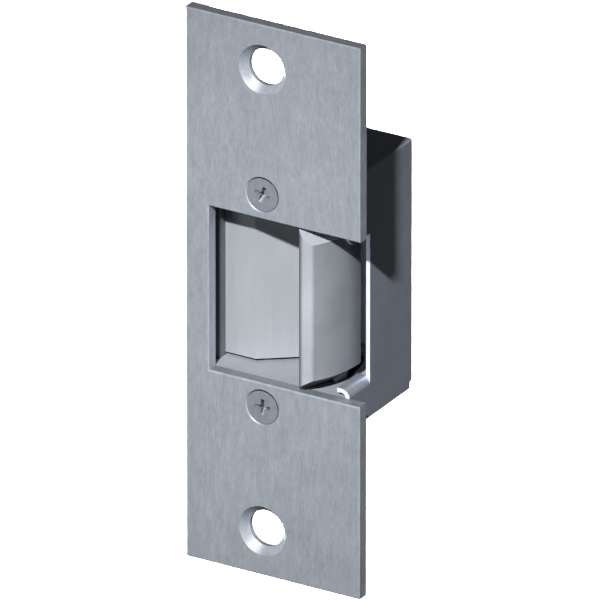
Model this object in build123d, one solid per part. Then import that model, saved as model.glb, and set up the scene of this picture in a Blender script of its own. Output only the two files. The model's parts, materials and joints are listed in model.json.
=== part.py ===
from build123d import *
import os
from math import cos, radians, sin, tan

os.makedirs("parts", exist_ok=True)

# All sizes are in millimetres. The origin is midway between the two mounting
# holes, on the back face of the faceplate. +X points to the side the latch
# leaves by, +Y into the door frame and +Z up.

# Faceplate
PLATE_THICKNESS = 2.4
PLATE_LEFT = -15.875
PLATE_RIGHT = 20.125
PLATE_HALF_HEIGHT = 53.975
OPENING_LEFT = -11.145
OPENING_HALF_HEIGHT = 16.1
MOUNT_HOLE_Z = 45.25
MOUNT_HOLE_RADIUS = 3.5
MOUNT_SINK_RADIUS = 4.82
SINK_HALF_ANGLE = 41.0
FACE_SCREW_Z = 20.85
FACE_SINK_RADIUS = 3.5
FACE_HEAD_RADIUS = 3.2
FACE_HEAD_DEPTH = 0.05
FACE_SHANK_RADIUS = 1.7
FACE_HOLE_RADIUS = 1.85
FACE_SCREW_TIP = 4.8

# Case
SHEET = 0.8
CASE_LEFT = -14.175
CASE_RIGHT = 16.65
CASE_BOTTOM = -22.75
CASE_TOP = 26.3
CASE_BACK = 21.2
CASE_CORNER = 0.4
COVER_THICKNESS = 1.1
COVER_BOTTOM = -21.2
REAR_LIP_TOP = -20.95
NOTCH_DEPTH = 7.15
NOTCH_TOP = 13.55
NOTCH_LEAD = 1.2
LIP_TOP = -14.5
LIP_LENGTH = 2.55
LIP_BEND = 1.65

# Latch cavity
FLOOR_Z = 16.05
FLOOR_THICKNESS = 1.1
CAVITY_LEFT = -11.875
SIDE_WALL_FRONT = 2.6
LINER_THICKNESS = 0.6
FACET_START = (-5.625, 4.7)
FACET_ANGLE = 37.2
FACET_LENGTH = 12.6
LINER_HALF_HEIGHT = 15.45
LINER_SCREW_ALONG = 11.0
LINER_SCREW_Z = 9.0

# Keeper, turning about an upright axis
PIVOT = (-5.275, 8.4)
PIN_RADIUS = 1.25
PIN_CLEARANCE = 0.07
JAW_INNER_X = 6.85
JAW_RADIUS = 18.9
JAW_HALF_HEIGHT = 15.65
JAW_BEVEL_HEIGHT = 2.35
JAW_BEVEL_WIDTH = 2.9
JAW_NOSE_RADIUS = 1.8
JAW_EDGE_RADIUS = 1.0
JAW_REAR_ANGLE = 2.0
ARM_THICKNESS = 1.6
ARM_Z = 17.85
ARM_ANGLE = 5.0
ARM_HALF_WIDTH = 2.3
FOOT_INNER = 14.6
FOOT_OUTER = 17.25
POST_OUTER = 16.9
POST_FIRST_ANGLE = -12.0
POST_LAST_ANGLE = -2.0
KEEPER_TRAVEL = 36.0
ARM_SCREW_RADIUS = 15.75

# Locking lever
LEVER_X = 0.325
LEVER_Z = 21.7
LEVER_FRONT = 12.2
LEVER_BACK = 14.2
LEVER_PIN_RADIUS = 0.8

# Solenoid
COIL = (-5.875, 13.4)
FLANGE_RADIUS = 5.75
BORE_RADIUS = 2.25
CORE_RADIUS = 2.2
PUSH_RADIUS = 0.75
FRAME_HALF_WIDTH = 4.225
FRAME_BACK = 21.0
FRAME_PLATE = 1.2
FRAME_Z = 13.0
COIL_SCREW_Z = 8.0

# Rear screws
COVER_SCREW_LEFT = -12.0
COVER_SCREW_RIGHT = 14.3
COVER_SCREW_Z = 13.0
SMALL_HEAD_RADIUS = 1.9
SMALL_SHANK_RADIUS = 0.95

# Wire outlet
OUTLET_X = -10.1
OUTLET_Z = -19.1
OUTLET_RADIUS = 1.15


def block(x0, x1, y0, y1, z0, z1):
    """A box between two corners."""
    centre = Pos((x0 + x1) / 2, (y0 + y1) / 2, (z0 + z1) / 2)
    return centre * Box(x1 - x0, y1 - y0, z1 - z0)


def rod_z(centre, z0, z1, radius):
    """An upright round bar."""
    return Pos(centre[0], centre[1], (z0 + z1) / 2) * Cylinder(radius, z1 - z0)


def rod_y(x, z, y0, y1, radius):
    """A round bar that runs from front to back."""
    return Pos(x, (y0 + y1) / 2, z) * Rot(90, 0, 0) * Cylinder(radius, y1 - y0)


def prism_z(points, z0, z1):
    """An upright prism over a polygon in plan."""
    outline = [Vector(x, y, z0) for x, y in points]
    face = Face(Wire.make_polygon(outline, close=True))
    return extrude(face, amount=z1 - z0, dir=(0, 0, 1))


def prism_x(points, x0, x1):
    """A prism over a polygon seen from the side, given as Y and Z."""
    outline = [Vector(x0, y, z) for y, z in points]
    face = Face(Wire.make_polygon(outline, close=True))
    return extrude(face, amount=x1 - x0, dir=(1, 0, 0))


def around_pivot(radius, angle):
    """A point in plan at a radius and an angle about the keeper's axis."""
    x = PIVOT[0] + radius * cos(radians(angle))
    y = PIVOT[1] + radius * sin(radians(angle))
    return (x, y)


def sector(inner, outer, first, last, z0, z1):
    """A curved bar about the keeper's axis, less than half a turn long."""
    reach = outer * 2
    middle = (first + last) / 2
    ring = rod_z(PIVOT, z0, z1, outer) - rod_z(PIVOT, z0 - 1, z1 + 1, inner)
    corners = [PIVOT, around_pivot(reach, first), around_pivot(reach, middle), around_pivot(reach, last)]
    return ring & prism_z(corners, z0, z1)


def sink_y(x, z, face_y, radius, end_radius):
    """A countersink's cone, its wide end on the plane face_y and its narrow end behind it."""
    depth = (radius - end_radius) / tan(radians(SINK_HALF_ANGLE))
    cone = Cone(radius, end_radius, depth)
    return Pos(x, face_y + depth / 2, z) * Rot(-90, 0, 0) * cone


def cross_recess(x, z, face_y, inward, half_length, half_width, depth, turn):
    """A tapered cross recess; inward is +1 for a screw driven towards +Y and -1 for one driven towards -Y."""
    arm = Pos(0, 0, -depth / 2) * Box(half_length * 2, half_width * 2, depth)
    cross = arm + Rot(0, 0, 90) * arm
    taper = Pos(0, 0, -depth / 2) * Cone(half_length * 0.45, half_length * 1.05, depth)
    shape = cross & taper
    return Pos(x, face_y, z) * Rot(0, turn, 0) * Rot(90 * inward, 0, 0) * shape


def flat_screw_y(x, z, face_y, tip_y, head, shank, recess, turn):
    """A countersunk screw driven along Y from face_y to tip_y."""
    inward = 1 if tip_y > face_y else -1
    depth = (head - shank) / tan(radians(SINK_HALF_ANGLE))
    body = rod_y(x, z, min(face_y, tip_y), max(face_y, tip_y), shank)
    cone = Pos(x, face_y + inward * depth / 2, z) * Rot(-90 * inward, 0, 0) * Cone(head, shank, depth)
    cut = cross_recess(x, z, face_y, inward, recess, recess * 0.23, recess * 0.85, turn)
    return body + cone - cut


def faceplate():
    """The plate that is seen on the door frame's edge."""
    plate = block(PLATE_LEFT, PLATE_RIGHT, -PLATE_THICKNESS, 0, -PLATE_HALF_HEIGHT, PLATE_HALF_HEIGHT)
    plate -= block(OPENING_LEFT, PLATE_RIGHT + 1, -5, 5, -OPENING_HALF_HEIGHT, OPENING_HALF_HEIGHT)
    front = plate.faces().sort_by(Axis.Y)[0]
    plate = chamfer(front.edges(), 0.25)
    for z in (-MOUNT_HOLE_Z, MOUNT_HOLE_Z):
        plate -= rod_y(0, z, -5, 5, MOUNT_HOLE_RADIUS)
        plate -= sink_y(0, z, -PLATE_THICKNESS, MOUNT_SINK_RADIUS, MOUNT_HOLE_RADIUS)
    for z in (-FACE_SCREW_Z, FACE_SCREW_Z):
        plate -= rod_y(0, z, -5, 5, FACE_HOLE_RADIUS)
        plate -= sink_y(0, z, -PLATE_THICKNESS, FACE_SINK_RADIUS, FACE_HOLE_RADIUS)
    return plate


def faceplate_screws():
    """The two screws from the faceplate into the housing."""
    top = -PLATE_THICKNESS + FACE_HEAD_DEPTH
    screws = []
    for z, turn in ((FACE_SCREW_Z, 18), (-FACE_SCREW_Z, 0)):
        screw = flat_screw_y(0, z, top, FACE_SCREW_TIP, FACE_HEAD_RADIUS, FACE_SHANK_RADIUS, 1.6, turn)
        screws.append(screw.solid())
    return Compound(children=screws)


def case():
    """The folded sheet box, with the notch that lets the latch swing out."""
    inside_left = CASE_LEFT + SHEET
    inside_right = CASE_RIGHT - SHEET
    inside_bottom = CASE_BOTTOM + SHEET
    inside_top = CASE_TOP - SHEET
    outer = block(CASE_LEFT, CASE_RIGHT, 0, CASE_BACK, CASE_BOTTOM, CASE_TOP)
    outer = fillet(outer.edges().filter_by(Axis.Y), CASE_CORNER)
    box = outer - block(inside_left, inside_right, -1, CASE_BACK + 1, inside_bottom, inside_top)

    # The notch, with a lead-in at its top corner, and the lip turned in under it
    bend_x = CASE_RIGHT - LIP_BEND
    bend_z = LIP_TOP - LIP_BEND
    box -= block(inside_right - 1, CASE_RIGHT + 1, -1, NOTCH_DEPTH, bend_z, NOTCH_TOP)
    lead_top = NOTCH_TOP + NOTCH_LEAD
    lead = [(-1, NOTCH_TOP - 1), (NOTCH_LEAD, NOTCH_TOP), (0, lead_top), (-1, lead_top)]
    box -= prism_x(lead, inside_right - 1, CASE_RIGHT + 1)
    bend = rod_y(bend_x, bend_z, 0, NOTCH_DEPTH, LIP_BEND)
    bend -= rod_y(bend_x, bend_z, -1, NOTCH_DEPTH + 1, LIP_BEND - SHEET)
    box += bend & block(bend_x, CASE_RIGHT + 1, 0, NOTCH_DEPTH, bend_z, LIP_TOP + 1)
    box += block(CASE_RIGHT - LIP_LENGTH, bend_x, 0, NOTCH_DEPTH, LIP_TOP - SHEET, LIP_TOP)

    # Front flanges for the face screws, and the flange under the rear cover
    flange_z = FLOOR_Z + FLOOR_THICKNESS + 0.1
    box += block(-9, 11, 0, SHEET, flange_z, inside_top)
    box += block(-9, 11, 0, SHEET, inside_bottom, -flange_z)
    box += block(inside_left, inside_right, CASE_BACK - SHEET, CASE_BACK, inside_bottom, REAR_LIP_TOP)
    for z in (-FACE_SCREW_Z, FACE_SCREW_Z):
        box -= rod_y(0, z, -1, SHEET + 0.5, FACE_HOLE_RADIUS + 0.1)
    box -= block(-3.3, 3.3, SHEET, 5.4, CASE_BOTTOM - 1, inside_bottom + 0.5)
    return box.solid()


def rear_cover():
    """The plate screwed on the back of the box."""
    cover = block(CASE_LEFT, CASE_RIGHT, CASE_BACK, CASE_BACK + COVER_THICKNESS, COVER_BOTTOM, CASE_TOP)
    top_corners = cover.edges().filter_by(Axis.Y).group_by(Axis.Z)[-1]
    cover = fillet(top_corners, CASE_CORNER)
    back = cover.faces().sort_by(Axis.Y)[-1]
    cover = fillet(back.edges(), 0.6)
    outside = CASE_BACK + COVER_THICKNESS
    places = [(x, z) for x in (COVER_SCREW_LEFT, COVER_SCREW_RIGHT) for z in (-COVER_SCREW_Z, COVER_SCREW_Z)]
    places += [(COIL[0], -COIL_SCREW_Z), (COIL[0], COIL_SCREW_Z)]
    depth = (SMALL_HEAD_RADIUS - SMALL_SHANK_RADIUS) / tan(radians(SINK_HALF_ANGLE))
    for x, z in places:
        cover -= rod_y(x, z, CASE_BACK - 1, outside + 1, SMALL_SHANK_RADIUS + 0.1)
        cone = Cone(SMALL_HEAD_RADIUS + 0.08, SMALL_SHANK_RADIUS + 0.08, depth)
        cover -= Pos(x, outside - depth / 2, z) * Rot(90, 0, 0) * cone
    cover -= outlet_slot(CASE_BACK - 1, outside + 1, 1.3, OUTLET_RADIUS)
    return cover.solid()


def outlet_slot(y0, y1, half_length, radius):
    """A bar with rounded ends through the wire outlet."""
    bar = block(OUTLET_X - half_length, OUTLET_X + half_length, y0, y1, OUTLET_Z - radius, OUTLET_Z + radius)
    bar += rod_y(OUTLET_X - half_length, OUTLET_Z, y0, y1, radius)
    bar += rod_y(OUTLET_X + half_length, OUTLET_Z, y0, y1, radius)
    return bar


def housing():
    """The cast block: cavity floor and ceiling, side wall, columns and screw bosses."""
    left = CASE_LEFT + SHEET + 0.05
    right = CASE_RIGHT - SHEET - 0.05
    back = CASE_BACK - 0.1
    outer_z = FLOOR_Z + FLOOR_THICKNESS
    ceiling = block(left, right, 0.02, back, FLOOR_Z, outer_z)
    floor = block(left, right, 0.02, back, -outer_z, -FLOOR_Z)
    cast = ceiling + floor
    cast += block(left, CAVITY_LEFT, SIDE_WALL_FRONT, back, -FLOOR_Z, FLOOR_Z)
    cast += block(left, -10.6, back - 3, back, -FLOOR_Z, FLOOR_Z)
    cast += block(12.9, right, back - 2.5, back, -FLOOR_Z, FLOOR_Z)
    cast += rod_z(liner_point(LINER_SCREW_ALONG, LINER_THICKNESS + 1.8), -FLOOR_Z, FLOOR_Z, 1.7)
    for side in (-1, 1):
        boss = rod_y(0, side * FACE_SCREW_Z, SHEET, 5.2, 3.2)
        low, high = sorted((side * outer_z, side * FACE_SCREW_Z))
        boss += block(-3.2, 3.2, SHEET, 5.2, low, high)
        cast += boss & block(-4, 4, 0, 6, -23.2, 24.2)
        cast -= rod_y(0, side * FACE_SCREW_Z, 0, FACE_SCREW_TIP + 0.1, FACE_SHANK_RADIUS + 0.03)
        cast += rod_z(PIVOT, min(side * FLOOR_Z, side * 14.6), max(side * FLOOR_Z, side * 14.6), 2.0)
        cast -= rod_z(PIVOT, min(side * 18, side * 14.9), max(side * 18, side * 14.9), PIN_RADIUS + 0.01)
        first = POST_FIRST_ANGLE - 1.8
        last = POST_LAST_ANGLE + KEEPER_TRAVEL + 1.8
        low, high = sorted((side * 16, side * 18))
        cast -= sector(FOOT_INNER - 0.35, POST_OUTER + 0.35, first, last, low, high)
    cast -= rod_z(COIL, 16, 18, PUSH_RADIUS + 0.35)
    cast -= rod_z((-11.4, 15.4), -18, -16, 0.9)
    for x in (COVER_SCREW_LEFT, COVER_SCREW_RIGHT):
        for z in (-COVER_SCREW_Z, COVER_SCREW_Z):
            cast -= rod_y(x, z, back - 3.4, back + 1, SMALL_SHANK_RADIUS + 0.03)
    for z in (-LINER_SCREW_Z, LINER_SCREW_Z):
        cast -= liner_rod(z, LINER_THICKNESS - 0.2, 3.2, 0.73)
    return cast.solid()


def liner_point(along, behind):
    """A point in plan on the slanted facet, given along it and behind its front."""
    angle = radians(FACET_ANGLE)
    x = FACET_START[0] + along * cos(angle) - behind * sin(angle)
    y = FACET_START[1] + along * sin(angle) + behind * cos(angle)
    return (x, y)


def liner_rod(z, behind_0, behind_1, radius):
    """A round bar square to the slanted facet, where a liner screw goes."""
    x, y = liner_point(LINER_SCREW_ALONG, (behind_0 + behind_1) / 2)
    return Pos(x, y, z) * Rot(0, 0, FACET_ANGLE) * Rot(90, 0, 0) * Cylinder(radius, behind_1 - behind_0)


def cavity_liner():
    """The bent sheet at the back of the latch cavity."""
    bend = LINER_THICKNESS * tan(radians(FACET_ANGLE / 2))
    left = CAVITY_LEFT + 0.03
    outline = [
        (left, FACET_START[1]),
        FACET_START,
        liner_point(FACET_LENGTH, 0),
        liner_point(FACET_LENGTH, LINER_THICKNESS),
        (FACET_START[0] - bend, FACET_START[1] + LINER_THICKNESS),
        (left, FACET_START[1] + LINER_THICKNESS),
    ]
    liner = prism_z(outline, -LINER_HALF_HEIGHT, LINER_HALF_HEIGHT)
    for z in (-LINER_SCREW_Z, LINER_SCREW_Z):
        liner -= liner_rod(z, -1, 2, 0.8)
    return liner.solid()


def liner_screws():
    """The two screws that hold the liner on the column behind it."""
    screws = []
    for z in (-LINER_SCREW_Z, LINER_SCREW_Z):
        head = liner_rod(z, -0.5, 0, 1.25)
        slot_x, slot_y = liner_point(LINER_SCREW_ALONG, -0.5)
        slot = Pos(slot_x, slot_y, z) * Rot(0, 0, FACET_ANGLE) * Box(3, 0.5, 0.35)
        screws.append((head + liner_rod(z, 0, 3.0, 0.7) - slot).solid())
    return Compound(children=screws)


def bevel_cone(side):
    """A tall cone about the keeper's axis; inside it, the jaw's round face is bevelled at one end."""
    slope = JAW_BEVEL_WIDTH / JAW_BEVEL_HEIGHT
    edge = JAW_HALF_HEIGHT - JAW_BEVEL_HEIGHT
    wide = JAW_RADIUS + (edge + 20) * slope
    narrow = JAW_RADIUS + (edge - 17) * slope
    turn = 0 if side > 0 else 180
    return Pos(PIVOT[0], PIVOT[1], -side * 1.5) * Rot(turn, 0, 0) * Cone(wide, narrow, 37)


def keeper_jaw():
    """The jaw that holds the latch: flat inside, round outside, with a post at each end."""
    drum = rod_z(PIVOT, -JAW_HALF_HEIGHT, JAW_HALF_HEIGHT, JAW_RADIUS)
    jaw = drum & block(JAW_INNER_X, 20, -PLATE_THICKNESS, 20, -JAW_HALF_HEIGHT, JAW_HALF_HEIGHT)
    rear = around_pivot(30, JAW_REAR_ANGLE)
    jaw = jaw & prism_z([PIVOT, (PIVOT[0], -20), (rear[0], -20), rear], -20, 20)
    nose, outer_edge = jaw.edges().filter_by(Axis.Z).sort_by(Axis.Y)[0:2].sort_by(Axis.X)
    jaw = fillet(outer_edge, JAW_EDGE_RADIUS)
    nose = jaw.edges().filter_by(Axis.Z).sort_by(Axis.X)[0:3].sort_by(Axis.Y)[0]
    jaw = fillet(nose, JAW_NOSE_RADIUS)
    jaw = jaw & bevel_cone(1) & bevel_cone(-1)
    for side in (-1, 1):
        low, high = sorted((side * (JAW_HALF_HEIGHT - 1.2), side * ARM_Z))
        jaw += sector(FOOT_INNER, POST_OUTER, POST_FIRST_ANGLE, POST_LAST_ANGLE, low, high)
    for side in (-1, 1):
        centre = around_pivot(ARM_SCREW_RADIUS, (POST_FIRST_ANGLE + POST_LAST_ANGLE) / 2)
        jaw -= rod_z(centre, min(side * 14, side * 18), max(side * 14, side * 18), 0.73)
    return jaw.solid()


def keeper_arm(side):
    """One arm from the pivot pin to the jaw's post; side is +1 above and -1 below."""
    z0 = min(side * ARM_Z, side * (ARM_Z + ARM_THICKNESS))
    z1 = z0 + ARM_THICKNESS
    hub = rod_z(PIVOT, z0, z1, 3.0)
    bar = Pos(PIVOT[0], PIVOT[1], (z0 + z1) / 2) * Rot(0, 0, ARM_ANGLE)
    bar = bar * Pos(8, 0, 0) * Box(16, ARM_HALF_WIDTH * 2, ARM_THICKNESS)
    arm = hub + (bar & rod_z(PIVOT, z0, z1, FOOT_INNER + 0.4))
    arm += sector(FOOT_INNER, FOOT_OUTER, POST_FIRST_ANGLE - 2, 4, z0, z1)
    arm -= rod_z(PIVOT, z0 - 1, z1 + 1, PIN_RADIUS + PIN_CLEARANCE)
    centre = around_pivot(ARM_SCREW_RADIUS, (POST_FIRST_ANGLE + POST_LAST_ANGLE) / 2)
    arm -= rod_z(centre, z0 - 1, z1 + 1, 0.8)
    face_z = side * (ARM_Z + ARM_THICKNESS)
    cone = Cone(0.75, 1.4, 0.75)
    turn = 0 if side > 0 else 180
    arm -= Pos(centre[0], centre[1], face_z - side * 0.375) * Rot(turn, 0, 0) * cone
    return arm.solid()


def keeper_screws():
    """The two screws that hold the arms on the jaw's posts."""
    screws = []
    for side in (-1, 1):
        face_z = side * (ARM_Z + ARM_THICKNESS - 0.03)
        centre = around_pivot(ARM_SCREW_RADIUS, (POST_FIRST_ANGLE + POST_LAST_ANGLE) / 2)
        shank = rod_z(centre, min(side * 14.3, face_z), max(side * 14.3, face_z), 0.7)
        turn = 0 if side > 0 else 180
        head = Pos(centre[0], centre[1], face_z - side * 0.34) * Rot(turn, 0, 0) * Cone(0.7, 1.3, 0.68)
        slot = Pos(centre[0], centre[1], face_z) * Box(2.8, 0.35, 0.7)
        screws.append((shank + head - slot).solid())
    return Compound(children=screws)


def pivot_pin(side):
    """A pivot pin pressed in the housing, with a groove for its ring."""
    z0 = 14.9
    z1 = 20.5
    pin = rod_z(PIVOT, min(side * z0, side * z1), max(side * z0, side * z1), PIN_RADIUS)
    pin = chamfer(pin.edges(), 0.2)
    groove = rod_z(PIVOT, min(side * 19.75, side * 20.15), max(side * 19.75, side * 20.15), 2)
    groove -= rod_z(PIVOT, -25, 25, 0.95)
    return (pin - groove).solid()


def pivot_clips():
    """The two open rings that keep the arms on their pins."""
    clips = []
    for side in (-1, 1):
        z0 = min(side * 19.78, side * 20.12)
        ring = rod_z(PIVOT, z0, z0 + 0.34, 2.3) - rod_z(PIVOT, z0 - 1, z0 + 1, 1.0)
        opening = block(PIVOT[0] - 3, PIVOT[0], PIVOT[1] - 0.8, PIVOT[1] + 0.8, z0 - 1, z0 + 1)
        clips.append((ring - opening).solid())
    return Compound(children=clips)


def coil_spring(radius, wire, pitch, turns):
    """An upright helical spring that starts at the origin."""
    path = Helix(pitch=pitch, height=pitch * turns, radius=radius)
    section = Plane(path @ 0, z_dir=path % 0) * Circle(wire)
    return sweep(section, path=path)


def torsion_spring(radius, wire, pitch, turns, first_leg, last_leg):
    """An upright torsion spring that starts at the origin, with a straight leg at each end."""
    steps = 12
    points = [Vector(radius, -first_leg, 0), Vector(radius, -first_leg / 2, 0)]
    for i in range(int(turns * steps) + 1):
        angle = radians(i * 360 / steps)
        points.append(Vector(radius * cos(angle), radius * sin(angle), pitch * i / steps))
    top = pitch * turns
    points += [Vector(radius, last_leg / 2, top), Vector(radius, last_leg, top)]
    path = Spline(*points)
    section = Plane(path @ 0, z_dir=path % 0) * Circle(wire)
    return sweep(section, path=path)


def keeper_spring():
    """The torsion spring that swings the keeper shut, round the lower pin's tail."""
    spring = torsion_spring(1.75, 0.2, 0.41, 3, 4.0, 4.4)
    return (Pos(PIVOT[0], PIVOT[1], -21.58) * spring).solid()


def stop_bumpers():
    """The rubber pads that the arms come to when the keeper shuts."""
    upper = block(0, 2.6, 5.2, 6.2, 18.0, 19.3)
    lower = block(0, 2.6, 5.2, 6.2, -19.3, -18.0)
    pads = [fillet(pad.edges().filter_by(Axis.Z), 0.25) for pad in (upper, lower)]
    return Compound(children=[pad.solid() for pad in pads])


def lever_bracket():
    """The bracket under the box's top that carries the locking lever."""
    top = CASE_TOP - SHEET
    base = block(-2.9, 3.5, 10.9, 16.7, top - SHEET, top)
    bracket = base
    for y0 in (10.9, 15.9):
        ear = rod_y(LEVER_X, LEVER_Z, y0, y0 + SHEET, 1.7)
        ear += block(LEVER_X - 1.7, LEVER_X + 1.7, y0, y0 + SHEET, LEVER_Z, top - SHEET)
        bracket += ear
    bracket -= rod_y(LEVER_X, LEVER_Z, 0, 20, LEVER_PIN_RADIUS + 0.01)
    return bracket.solid()


def lever_pin():
    """The headed pin through the bracket and the lever."""
    pin = rod_y(LEVER_X, LEVER_Z, 10.9, 17.1, LEVER_PIN_RADIUS)
    pin = chamfer(pin.edges(), 0.12)
    pin += rod_y(LEVER_X, LEVER_Z, 10.4, 10.9, 1.25)
    pin += rod_y(LEVER_X, LEVER_Z, 16.7, 17.0, 1.1)
    return pin.solid()


def lock_lever():
    """The lever whose nose drops behind the upper arm and locks the keeper."""
    lever = block(-7.0, 8.525, LEVER_FRONT, LEVER_BACK, 21.0, 22.4)
    lever += rod_y(LEVER_X, LEVER_Z, LEVER_FRONT, LEVER_BACK, 1.7)
    lever += block(6.525, 8.525, LEVER_FRONT, LEVER_BACK - 0.2, 19.8, 21.2)
    corners = lever.edges().filter_by(Axis.Y).group_by(Axis.X)
    lever = fillet(corners[0] + corners[-1], 0.3)
    lever -= rod_y(LEVER_X, LEVER_Z, 0, 20, LEVER_PIN_RADIUS + PIN_CLEARANCE)
    lever -= block(2.8, 3.6, 0, 20, 22.1, 23)
    return lever.solid()


def lever_spring():
    """The torsion spring that lifts the lever's nose when the coil is off."""
    spring = torsion_spring(1.25, 0.18, 0.4, 2, 1.3, 2.0)
    return (Pos(LEVER_X, 15.5, LEVER_Z) * Rot(90, 0, 0) * spring).solid()


def solenoid_frame():
    """The C-shaped steel frame round the coil."""
    x0 = COIL[0] - FRAME_HALF_WIDTH
    x1 = COIL[0] + FRAME_HALF_WIDTH
    frame = block(x0, x1, 8.6, FRAME_BACK, FRAME_Z, FRAME_Z + FRAME_PLATE)
    frame += block(x0, x1, 8.6, FRAME_BACK, -FRAME_Z - FRAME_PLATE, -FRAME_Z)
    frame += block(x0, x1, FRAME_BACK - 1.1, FRAME_BACK, -FRAME_Z, FRAME_Z)
    outside = frame.edges().filter_by(Axis.X).group_by(Axis.Y)[-1]
    frame = fillet(outside, 0.8)
    frame -= rod_z(COIL, FRAME_Z - 1, FRAME_Z + 2, CORE_RADIUS + 0.02)
    frame -= rod_z(COIL, -FRAME_Z - 2, -FRAME_Z + 1, CORE_RADIUS + 0.3)
    for z in (-COIL_SCREW_Z, COIL_SCREW_Z):
        frame -= rod_y(COIL[0], z, FRAME_BACK - 2, FRAME_BACK + 1, SMALL_SHANK_RADIUS + 0.03)
    return frame.solid()


def tube_z(inner, outer, z0, z1):
    """An upright tube round the coil's axis."""
    return rod_z(COIL, z0, z1, outer) - rod_z(COIL, z0 - 1, z1 + 1, inner)


def coil_bobbin():
    """The moulded bobbin, a tube with a flange at each end."""
    bobbin = tube_z(BORE_RADIUS, 2.85, -12.95, 12.95)
    bobbin += tube_z(BORE_RADIUS, FLANGE_RADIUS, -12.95, -12.15)
    bobbin += tube_z(BORE_RADIUS, FLANGE_RADIUS, 12.15, 12.95)
    return bobbin.solid()


def plunger():
    """The moving core, hollow at its top for the push pin."""
    core = rod_z(COIL, -15.2, 0.9, CORE_RADIUS)
    core = chamfer(core.edges(), 0.3)
    core -= rod_z(COIL, -2.1, 2, PUSH_RADIUS + 0.01)
    return core.solid()


def push_pin():
    """The brass pin that carries the plunger's stroke to the lever."""
    pin = rod_z(COIL, -2.0, 20.7, PUSH_RADIUS)
    return fillet(pin.edges().sort_by(Axis.Z)[-1], 0.4).solid()


def pole_piece():
    """The fixed core at the top of the bore."""
    core = rod_z(COIL, 3.0, FRAME_Z + FRAME_PLATE, CORE_RADIUS)
    core -= rod_z(COIL, 0, 20, PUSH_RADIUS + 0.1)
    core -= rod_z(COIL, 0, 6.0, 1.5)
    return core.solid()


def plunger_spring():
    """The spring that pushes the plunger down when the coil is off."""
    wire = 0.15
    turns = 7
    pitch = (6.0 - 0.9 - 2 * wire - 0.1) / turns
    return (Pos(COIL[0], COIL[1], 0.95 + wire) * coil_spring(1.15, wire, pitch, turns)).solid()


def plunger_pad():
    """The felt pad under the plunger."""
    return rod_z(COIL, -FLOOR_Z, -15.5, 2.6).solid()


def rear_screws(places, tip_y):
    """Countersunk screws driven into the back of the box."""
    outside = CASE_BACK + COVER_THICKNESS - 0.03
    screws = []
    for x, z, turn in places:
        screw = flat_screw_y(x, z, outside, tip_y, SMALL_HEAD_RADIUS, SMALL_SHANK_RADIUS, 1.0, turn)
        screws.append(screw.solid())
    return Compound(children=screws)


def terminal_block():
    """The moulded block under the floor where the supply wires are clamped."""
    body = block(-13.1, -7.5, 12.6, 18.4, -21.4, -FLOOR_Z - FLOOR_THICKNESS - 0.05)
    body = fillet(body.edges().filter_by(Axis.Z), 0.4)
    for x in (-11.6, -9.0):
        body -= rod_z((x, 16.2), -22, -19.9, 1.1)
        body -= rod_z((x, 16.2), -20, -18.4, 0.63)
        body -= rod_y(x, -19.4, 16.0, 19, 0.85)
    return body.solid()


def terminal_screws():
    """The two brass clamp screws."""
    screws = []
    for x in (-11.6, -9.0):
        screw = rod_z((x, 16.2), -20.9, -20.0, 1.0)
        screw += rod_z((x, 16.2), -20.0, -18.6, 0.6)
        screw -= Pos(x, 16.2, -20.9) * Box(2.2, 0.35, 0.8)
        screws.append(screw.solid())
    return Compound(children=screws)


def wire_grommet():
    """The rubber bush in the wire outlet, with a hole for each of two wires."""
    outside = CASE_BACK + COVER_THICKNESS
    bush = outlet_slot(CASE_BACK - 0.6, outside + 0.6, 1.3, OUTLET_RADIUS - 0.05)
    bush += outlet_slot(outside, outside + 0.6, 1.4, OUTLET_RADIUS + 0.35)
    bush += outlet_slot(CASE_BACK - 0.6, CASE_BACK, 1.4, OUTLET_RADIUS + 0.35)
    for x in (OUTLET_X - 1.15, OUTLET_X + 1.15):
        bush -= rod_y(x, OUTLET_Z, CASE_BACK - 2, outside + 2, 0.75)
    return bush.solid()


def save(name, shape):
    """Write one piece."""
    shape.label = name
    export_step(shape, f"parts/{name}.step")


cover_places = [
    (COVER_SCREW_LEFT, -COVER_SCREW_Z, 10),
    (COVER_SCREW_LEFT, COVER_SCREW_Z, 55),
    (COVER_SCREW_RIGHT, -COVER_SCREW_Z, 30),
    (COVER_SCREW_RIGHT, COVER_SCREW_Z, 75),
]
coil_places = [
    (COIL[0], -COIL_SCREW_Z, 20),
    (COIL[0], COIL_SCREW_Z, 65),
]

save("faceplate", faceplate())
save("faceplate_screws", faceplate_screws())
save("case", case())
save("rear_cover", rear_cover())
save("housing", housing())
save("cavity_liner", cavity_liner())
save("liner_screws", liner_screws())
save("keeper_jaw", keeper_jaw())
save("keeper_arm_upper", keeper_arm(1))
save("keeper_arm_lower", keeper_arm(-1))
save("keeper_screws", keeper_screws())
save("pivot_pin_upper", pivot_pin(1))
save("pivot_pin_lower", pivot_pin(-1))
save("pivot_clips", pivot_clips())
save("keeper_spring", keeper_spring())
save("stop_bumpers", stop_bumpers())
save("lever_bracket", lever_bracket())
save("lever_pin", lever_pin())
save("lock_lever", lock_lever())
save("lever_spring", lever_spring())
save("solenoid_frame", solenoid_frame())
save("coil_bobbin", coil_bobbin())
save("coil_winding", tube_z(2.9, 5.45, -12.1, 12.1).solid())
save("coil_tape", tube_z(5.5, 5.65, -12.1, 12.1).solid())
save("pole_piece", pole_piece())
save("plunger", plunger())
save("push_pin", push_pin())
save("plunger_spring", plunger_spring())
save("plunger_pad", plunger_pad())
save("solenoid_screws", rear_screws(coil_places, FRAME_BACK - 1.0))
save("rear_cover_screws", rear_screws(cover_places, CASE_BACK - 3.3))
save("terminal_block", terminal_block())
save("terminal_screws", terminal_screws())
save("wire_grommet", wire_grommet())
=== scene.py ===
import json
import math

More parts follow.
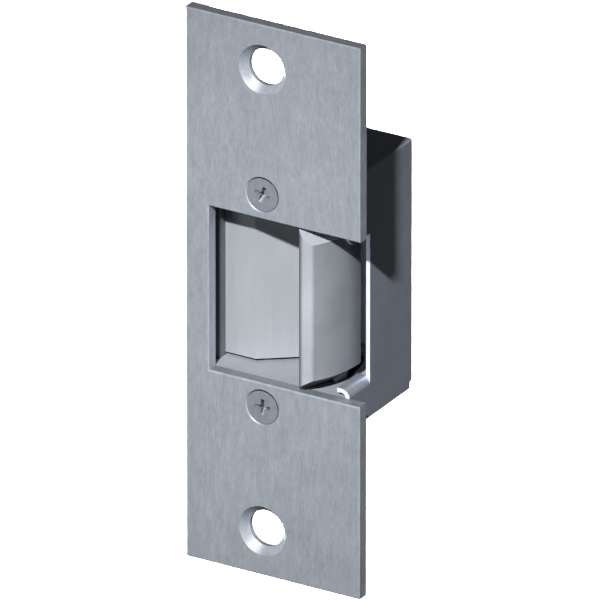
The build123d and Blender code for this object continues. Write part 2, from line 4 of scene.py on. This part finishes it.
import bpy
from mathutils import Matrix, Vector


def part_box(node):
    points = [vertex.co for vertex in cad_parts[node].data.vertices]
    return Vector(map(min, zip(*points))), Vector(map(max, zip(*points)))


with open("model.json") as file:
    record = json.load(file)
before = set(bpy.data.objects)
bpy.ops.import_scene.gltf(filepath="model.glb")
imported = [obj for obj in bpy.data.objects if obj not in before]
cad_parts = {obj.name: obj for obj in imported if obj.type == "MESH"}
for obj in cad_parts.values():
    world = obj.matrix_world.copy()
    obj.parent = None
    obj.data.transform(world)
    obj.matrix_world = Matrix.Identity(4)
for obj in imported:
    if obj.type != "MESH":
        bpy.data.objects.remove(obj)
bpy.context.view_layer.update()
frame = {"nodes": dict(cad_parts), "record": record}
nodes = frame["nodes"]

MM = 0.001

# Camera: the strike is seen from its right and from above, with a long lens.
CAMERA_YAW = math.radians(30.7)
CAMERA_PITCH = math.radians(24.9)
CAMERA_DISTANCE = 4.7
SENSOR_MM = 36.0
FRAME_WIDTH = 106.72 * MM
AIM_RIGHT_OF_PLATE_EDGE = 23.70 * MM
AIM_HEIGHT = 2.16 * MM
CAMERA_CLIP_END = 50.0

# Lights: directions point from the strike to the light, sizes are in metres and powers in watts.
# The key comes from above and in front, a little to the right; soft ones fill the cavity and the back.
LIGHT_DISTANCE = 1.2
KEY_DIRECTION = (0.166, -0.73, 0.663)
KEY_SIZE = 0.04
KEY_POWER = 16
FRONT_FILL_DIRECTION = (-0.25, -0.96, 0.12)
FRONT_FILL_POWER = 2.4
BACK_FILL_DIRECTION = (-0.6, 0.72, -0.35)
BACK_FILL_POWER = 20
FILL_SIZE = 0.5
# The pool is a narrow spot along the key's direction, brightest on the lower middle of the plate.
POOL_AIM = (-1 * MM, 0, -9 * MM)
POOL_CONE = math.radians(7)
POOL_SIZE = 0.02
POOL_POWER = 68
AMBIENT = 0.045

FLOOR_SIZE = 16.0
FLOOR_HEIGHT = -0.45

# Edges sharper than this are shaded as edges.
CREASE_ANGLE = math.radians(25)

# Range of the two summed noises that shows as a metal's streaks.
STREAK_LOW = 0.5
STREAK_HIGH = 1.1

# Sockets of the Mix node in its colour mode.
MIX_FACTOR = 0
MIX_FIRST = 6
MIX_SECOND = 7
MIX_RESULT = 2


# ---------------------------------------------------------------- node helpers
def new_material(name):
    """An empty node material with a Principled shader: (material, node tree, shader)."""
    material = bpy.data.materials.new(name)
    material.use_nodes = True
    tree = material.node_tree
    shader = tree.nodes["Principled BSDF"]
    return material, tree, shader


def stretched_noise(tree, scale_xyz, detail=4.0, roughness=0.6):
    """Noise over object coordinates, with its own scale along X, Y and Z in features per metre."""
    coords = tree.nodes.new("ShaderNodeTexCoord")
    mapping = tree.nodes.new("ShaderNodeMapping")
    mapping.inputs["Scale"].default_value = scale_xyz
    noise = tree.nodes.new("ShaderNodeTexNoise")
    noise.inputs["Scale"].default_value = 1.0
    noise.inputs["Detail"].default_value = detail
    noise.inputs["Roughness"].default_value = roughness
    tree.links.new(coords.outputs["Object"], mapping.inputs["Vector"])
    tree.links.new(mapping.outputs["Vector"], noise.inputs["Vector"])
    return noise.outputs["Fac"]


def remap(tree, value, low, high, out_low, out_high):
    """A value's range low to high turned into out_low to out_high."""
    node = tree.nodes.new("ShaderNodeMapRange")
    node.inputs["From Min"].default_value = low
    node.inputs["From Max"].default_value = high
    node.inputs["To Min"].default_value = out_low
    node.inputs["To Max"].default_value = out_high
    tree.links.new(value, node.inputs["Value"])
    return node.outputs["Result"]


def colour_ramp(tree, value, stops):
    """Colours along a value; stops are (position, (r, g, b))."""
    node = tree.nodes.new("ShaderNodeValToRGB")
    ramp = node.color_ramp
    while len(ramp.elements) < len(stops):
        ramp.elements.new(0.5)
    for element, (position, colour) in zip(ramp.elements, stops):
        element.position = position
        element.color = (*colour, 1.0)
    tree.links.new(value, node.inputs["Fac"])
    return node.outputs["Color"]


def multiply_colours(tree, first, second):
    """One colour or value output multiplied by another."""
    node = tree.nodes.new("ShaderNodeMix")
    node.data_type = "RGBA"
    node.blend_type = "MULTIPLY"
    node.clamp_result = False
    node.inputs[MIX_FACTOR].default_value = 1.0
    tree.links.new(first, node.inputs[MIX_FIRST])
    tree.links.new(second, node.inputs[MIX_SECOND])
    return node.outputs[MIX_RESULT]


def add_values(tree, first, second, weight):
    """first + weight x second."""
    node = tree.nodes.new("ShaderNodeMath")
    node.operation = "MULTIPLY_ADD"
    node.inputs[1].default_value = weight
    tree.links.new(second, node.inputs[0])
    tree.links.new(first, node.inputs[2])
    return node.outputs["Value"]


def bump(tree, shader, height, distance):
    """Bump on the shader's normal."""
    node = tree.nodes.new("ShaderNodeBump")
    node.inputs["Strength"].default_value = 1.0
    node.inputs["Distance"].default_value = distance
    tree.links.new(height, node.inputs["Height"])
    tree.links.new(node.outputs["Normal"], shader.inputs["Normal"])


def painted_facing_shade(tree, painted_face_shades, below=1.0, left=1.0):
    """Painted light and shade: a colour factor from the way a face looks, one each for faces along X, Y
    and Z, then one each for faces that look down and faces that look left.
    """
    coords = tree.nodes.new("ShaderNodeTexCoord")
    squares = tree.nodes.new("ShaderNodeVectorMath")
    squares.operation = "MULTIPLY"
    total = tree.nodes.new("ShaderNodeVectorMath")
    total.operation = "DOT_PRODUCT"
    total.inputs[1].default_value = painted_face_shades
    tree.links.new(coords.outputs["Normal"], squares.inputs[0])
    tree.links.new(coords.outputs["Normal"], squares.inputs[1])
    tree.links.new(squares.outputs["Vector"], total.inputs[0])
    parts = tree.nodes.new("ShaderNodeSeparateXYZ")
    tree.links.new(coords.outputs["Normal"], parts.inputs["Vector"])
    factor = total.outputs["Value"]
    # Faces that look down or to the left get a further painted shade or painted light.
    for side, tone in (("Z", below), ("X", left)):
        product = tree.nodes.new("ShaderNodeMath")
        product.operation = "MULTIPLY"
        tree.links.new(factor, product.inputs[0])
        tree.links.new(remap(tree, parts.outputs[side], -0.7, -0.2, tone, 1.0), product.inputs[1])
        factor = product.outputs["Value"]
    return factor


def shade(colour, factor):
    """A colour made lighter or darker."""
    return tuple(min(1.0, c * factor) for c in colour)


# ------------------------------------------------------------------- materials
def brushed_metal(
    name,
    colour,
    grain,
    roughness=(0.42, 0.55),
    depth=0.004 * MM,
    contrast=0.16,
    metallic=0.45,
    painted_face_shades=(1, 1, 1),
):
    """Sheet or bar metal with a fine grain; grain is the noise scale along X, Y and Z. Its colour also
    carries painted light and shade set by the way each face looks.
    """
    material, tree, shader = new_material(name)
    fine = stretched_noise(tree, grain, detail=5.0, roughness=0.7)
    coarse = stretched_noise(tree, tuple(g * 0.28 for g in grain), detail=3.0)
    cloud = stretched_noise(tree, (70, 70, 45), detail=3.0)
    streaks = add_values(tree, fine, coarse, 0.6)
    dark = shade(colour, 1 - contrast)
    light = shade(colour, 1 + contrast)
    streak_factor = remap(tree, streaks, STREAK_LOW, STREAK_HIGH, 0, 1)
    base = colour_ramp(tree, streak_factor, [(0.0, dark), (0.5, colour), (1.0, light)])
    tone = colour_ramp(tree, cloud, [(0.35, (0.93, 0.935, 0.94)), (0.65, (1.0, 1.0, 1.0))])
    colour_with_painted_shade = multiply_colours(tree, base, tone)
    # Painted light and shade: the grain colour is scaled by the way each face looks.
    colour_with_painted_shade = multiply_colours(tree, colour_with_painted_shade, painted_facing_shade(tree, painted_face_shades))
    gloss = remap(tree, streaks, STREAK_LOW, STREAK_HIGH, *roughness)
    tree.links.new(colour_with_painted_shade, shader.inputs["Base Color"])
    tree.links.new(gloss, shader.inputs["Roughness"])
    shader.inputs["Metallic"].default_value = metallic
    bump(tree, shader, streaks, depth)
    return material


def cast_metal(
    name,
    colour,
    roughness=(0.38, 0.55),
    depth=0.01 * MM,
    metallic=0.4,
    painted_face_shades=(1, 1, 1),
    below=1.0,
    left=1.0,
):
    """Die-cast or tumbled metal with a fine pebbled skin and faint stains, and painted light and shade
    set by the way each face looks.
    """
    material, tree, shader = new_material(name)
    grain = stretched_noise(tree, (3500, 3500, 3500), detail=3.0)
    cloud = stretched_noise(tree, (160, 160, 110), detail=5.0)
    dark = shade(colour, 0.86)
    light = shade(colour, 1.08)
    base = colour_ramp(tree, cloud, [(0.3, dark), (0.55, colour), (0.8, light)])
    # Painted light and shade: the stained colour is scaled by the way each face looks, with extra
    # factors for faces that look down or left.
    colour_with_painted_shade = multiply_colours(tree, base, painted_facing_shade(tree, painted_face_shades, below, left))
    tree.links.new(colour_with_painted_shade, shader.inputs["Base Color"])
    tree.links.new(remap(tree, cloud, 0.3, 0.7, *roughness), shader.inputs["Roughness"])
    shader.inputs["Metallic"].default_value = metallic
    bump(tree, shader, grain, depth)
    return material


def moulded(name, colour, roughness=0.5, depth=0.008 * MM):
    """Moulded plastic or rubber with a slight texture."""
    material, tree, shader = new_material(name)
    grain = stretched_noise(tree, (2500, 2500, 2500), detail=2.0)
    cloud = stretched_noise(tree, (200, 200, 200), detail=4.0)
    base = colour_ramp(tree, cloud, [(0.3, shade(colour, 0.85)), (0.7, shade(colour, 1.1))])
    tree.links.new(base, shader.inputs["Base Color"])
    gloss = remap(tree, cloud, 0.3, 0.7, roughness - 0.06, roughness + 0.08)
    tree.links.new(gloss, shader.inputs["Roughness"])
    bump(tree, shader, grain, depth)
    return material


# The per-direction factors in these materials are painted light and shade, not the metals' own colours.
materials = {
    # Faceplate: painted light on its cut edges that look along X, painted shade on those that look
    # along Z.
    "faceplate_steel": brushed_metal(
        "faceplate_steel",
        (0.325, 0.352, 0.392),
        (2900, 2900, 620),
        contrast=0.2,
        painted_face_shades=(1.85, 0.98, 0.55),
    ),
    "screw_steel": brushed_metal("screw_steel", (0.245, 0.26, 0.30), (3000, 3000, 900), (0.38, 0.5)),
    # Case: painted light on faces along X and strong painted light on faces along Y, painted shade on
    # faces along Z.
    "case_steel": brushed_metal(
        "case_steel",
        (0.285, 0.315, 0.37),
        (1400, 1400, 1400),
        contrast=0.07,
        painted_face_shades=(1.6, 2.8, 0.68),
    ),
    # Rear cover: the case's sheet with painted light on faces along X and painted shade on faces along
    # Z, but none added on faces along Y.
    "cover_steel": brushed_metal(
        "cover_steel",
        (0.285, 0.315, 0.37),
        (1400, 1400, 1400),
        contrast=0.07,
        painted_face_shades=(1.6, 1.0, 0.68),
    ),
    # Keeper: painted light on faces along Z, painted shade on faces that look down and on faces that
    # look left.
    "keeper_steel": cast_metal(
        "keeper_steel",
        (0.31, 0.332, 0.368),
        metallic=0.2,
        painted_face_shades=(0.9, 1.15, 1.3),
        below=0.2,
        left=0.3,
    ),
    # Liner: painted light on faces along X, slight painted shade on faces along Y.
    "liner_steel": brushed_metal(
        "liner_steel",
        (0.31, 0.328, 0.352),
        (900, 900, 90),
        (0.45, 0.55),
        contrast=0.04,
        metallic=0.15,
        painted_face_shades=(1.25, 0.92, 1.0),
    ),
    # Cast alloy: painted light on faces that look down, in place of bounced light, and painted shade on
    # faces along X.
    "cast_alloy": cast_metal(
        "cast_alloy",
        (0.205, 0.222, 0.25),
        (0.6, 0.75),
        metallic=0.1,
        painted_face_shades=(0.8, 1.0, 1.1),
        below=4.5,
    ),
    "spring_steel": brushed_metal("spring_steel", (0.36, 0.36, 0.38), (3000, 3000, 3000)),
    "core_steel": brushed_metal("core_steel", (0.5, 0.5, 0.52), (400, 400, 4000)),
    "brass": brushed_metal("brass", (0.66, 0.46, 0.18), (400, 400, 4000)),
    "copper_wire": brushed_metal("copper_wire", (0.55, 0.22, 0.1), (60, 60, 5000)),
    "black_rubber": moulded("black_rubber", (0.02, 0.02, 0.022), 0.7),
    "grey_felt": moulded("grey_felt", (0.12, 0.12, 0.125), 0.9, 0.03 * MM),
    "white_nylon": moulded("white_nylon", (0.72, 0.7, 0.64), 0.45),
    "black_plastic": moulded("black_plastic", (0.025, 0.025, 0.028), 0.45),
    "yellow_tape": moulded("yellow_tape", (0.62, 0.42, 0.05), 0.35),
}

slot_of = {entry["node"]: entry["material_slot"] for entry in frame["record"]["subparts"]}
# The rear cover is the case's sheet, with less painted light on its broad faces, which look along Y.
slot_of["rear_cover"] = "cover_steel"
for name, node in nodes.items():
    node.data.materials.clear()
    node.data.materials.append(materials[slot_of[name]])
    crease = node.modifiers.new("crease", "EDGE_SPLIT")
    crease.split_angle = CREASE_ANGLE


# ------------------------------------------------------------- floor and light
def floor():
    """A wide pale floor, well below the held strike."""
    material, tree, shader = new_material("floor_paint")
    cloud = stretched_noise(tree, (2, 2, 2), detail=2.0)
    base = colour_ramp(tree, cloud, [(0.3, (0.93, 0.93, 0.93)), (0.7, (0.96, 0.96, 0.96))])
    tree.links.new(base, shader.inputs["Base Color"])
    shader.inputs["Roughness"].default_value = 0.9
    shader.inputs["Specular IOR Level"].default_value = 0.0
    shader.inputs["Emission Color"].default_value = (1, 1, 1, 1)
    shader.inputs["Emission Strength"].default_value = 1.0
    bpy.ops.mesh.primitive_plane_add(size=FLOOR_SIZE, location=(0, 0, FLOOR_HEIGHT))
    plane = bpy.context.object
    plane.name = "studio_floor"
    plane.data.materials.append(material)
    plane.visible_diffuse = False
    plane.visible_glossy = False


def place_light(name, data, aim, toward_light):
    """A light that stands off from its aim and shines at it."""
    light = bpy.data.objects.new(name, data)
    direction = Vector(toward_light).normalized()
    light.location = Vector(aim) + direction * LIGHT_DISTANCE
    light.rotation_euler = (-direction).to_track_quat("-Z", "Y").to_euler()
    bpy.context.collection.objects.link(light)


def area_light(name, toward_light, size, power):
    """A square light that shines at the middle of the strike."""
    data = bpy.data.lights.new(name, "AREA")
    data.size = size
    data.energy = power
    place_light(name, data, (0, 0, 0), toward_light)


def spot_light(name, aim, toward_light, cone, power):
    """A spot whose pool fades from its aim to the faceplate's ends."""
    data = bpy.data.lights.new(name, "SPOT")
    data.spot_size = cone
    data.spot_blend = 1.0
    data.shadow_soft_size = POOL_SIZE
    data.energy = power
    place_light(name, data, aim, toward_light)


def studio_world():
    """Plain white surroundings that light the strike only a little, so that its shadows stay deep."""
    world = bpy.data.worlds.new("studio")
    bpy.context.scene.world = world
    world.use_nodes = True
    tree = world.node_tree
    background = tree.nodes["Background"]
    background.inputs["Color"].default_value = (1.0, 1.0, 1.0, 1.0)
    rays = tree.nodes.new("ShaderNodeLightPath")
    strength = tree.nodes.new("ShaderNodeMath")
    strength.operation = "MULTIPLY_ADD"
    strength.inputs[1].default_value = 1 - AMBIENT
    strength.inputs[2].default_value = AMBIENT
    tree.links.new(rays.outputs["Is Camera Ray"], strength.inputs[0])
    tree.links.new(strength.outputs["Value"], background.inputs["Strength"])


def camera():
    """A long lens that looks at the strike from its right and from above."""
    data = bpy.data.cameras.new("camera")
    data.sensor_width = SENSOR_MM
    data.lens = SENSOR_MM * CAMERA_DISTANCE / FRAME_WIDTH
    data.clip_end = CAMERA_CLIP_END
    cam = bpy.data.objects.new("camera", data)
    back = Vector((
        math.sin(CAMERA_YAW) * math.cos(CAMERA_PITCH),
        -math.cos(CAMERA_YAW) * math.cos(CAMERA_PITCH),
        math.sin(CAMERA_PITCH),
    ))
    plate_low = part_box("faceplate")[0]
    aim = Vector((plate_low[0] + AIM_RIGHT_OF_PLATE_EDGE, plate_low[1], AIM_HEIGHT))
    cam.location = aim + back * CAMERA_DISTANCE
    cam.rotation_euler = (-back).to_track_quat("-Z", "Y").to_euler()
    bpy.context.collection.objects.link(cam)
    bpy.context.scene.camera = cam


floor()
studio_world()
area_light("key", KEY_DIRECTION, KEY_SIZE, KEY_POWER)
area_light("front_fill", FRONT_FILL_DIRECTION, FILL_SIZE, FRONT_FILL_POWER)
area_light("back_fill", BACK_FILL_DIRECTION, FILL_SIZE, BACK_FILL_POWER)
spot_light("key_pool", POOL_AIM, KEY_DIRECTION, POOL_CONE, POOL_POWER)
camera()
bpy.context.scene.view_settings.view_transform = "Standard"
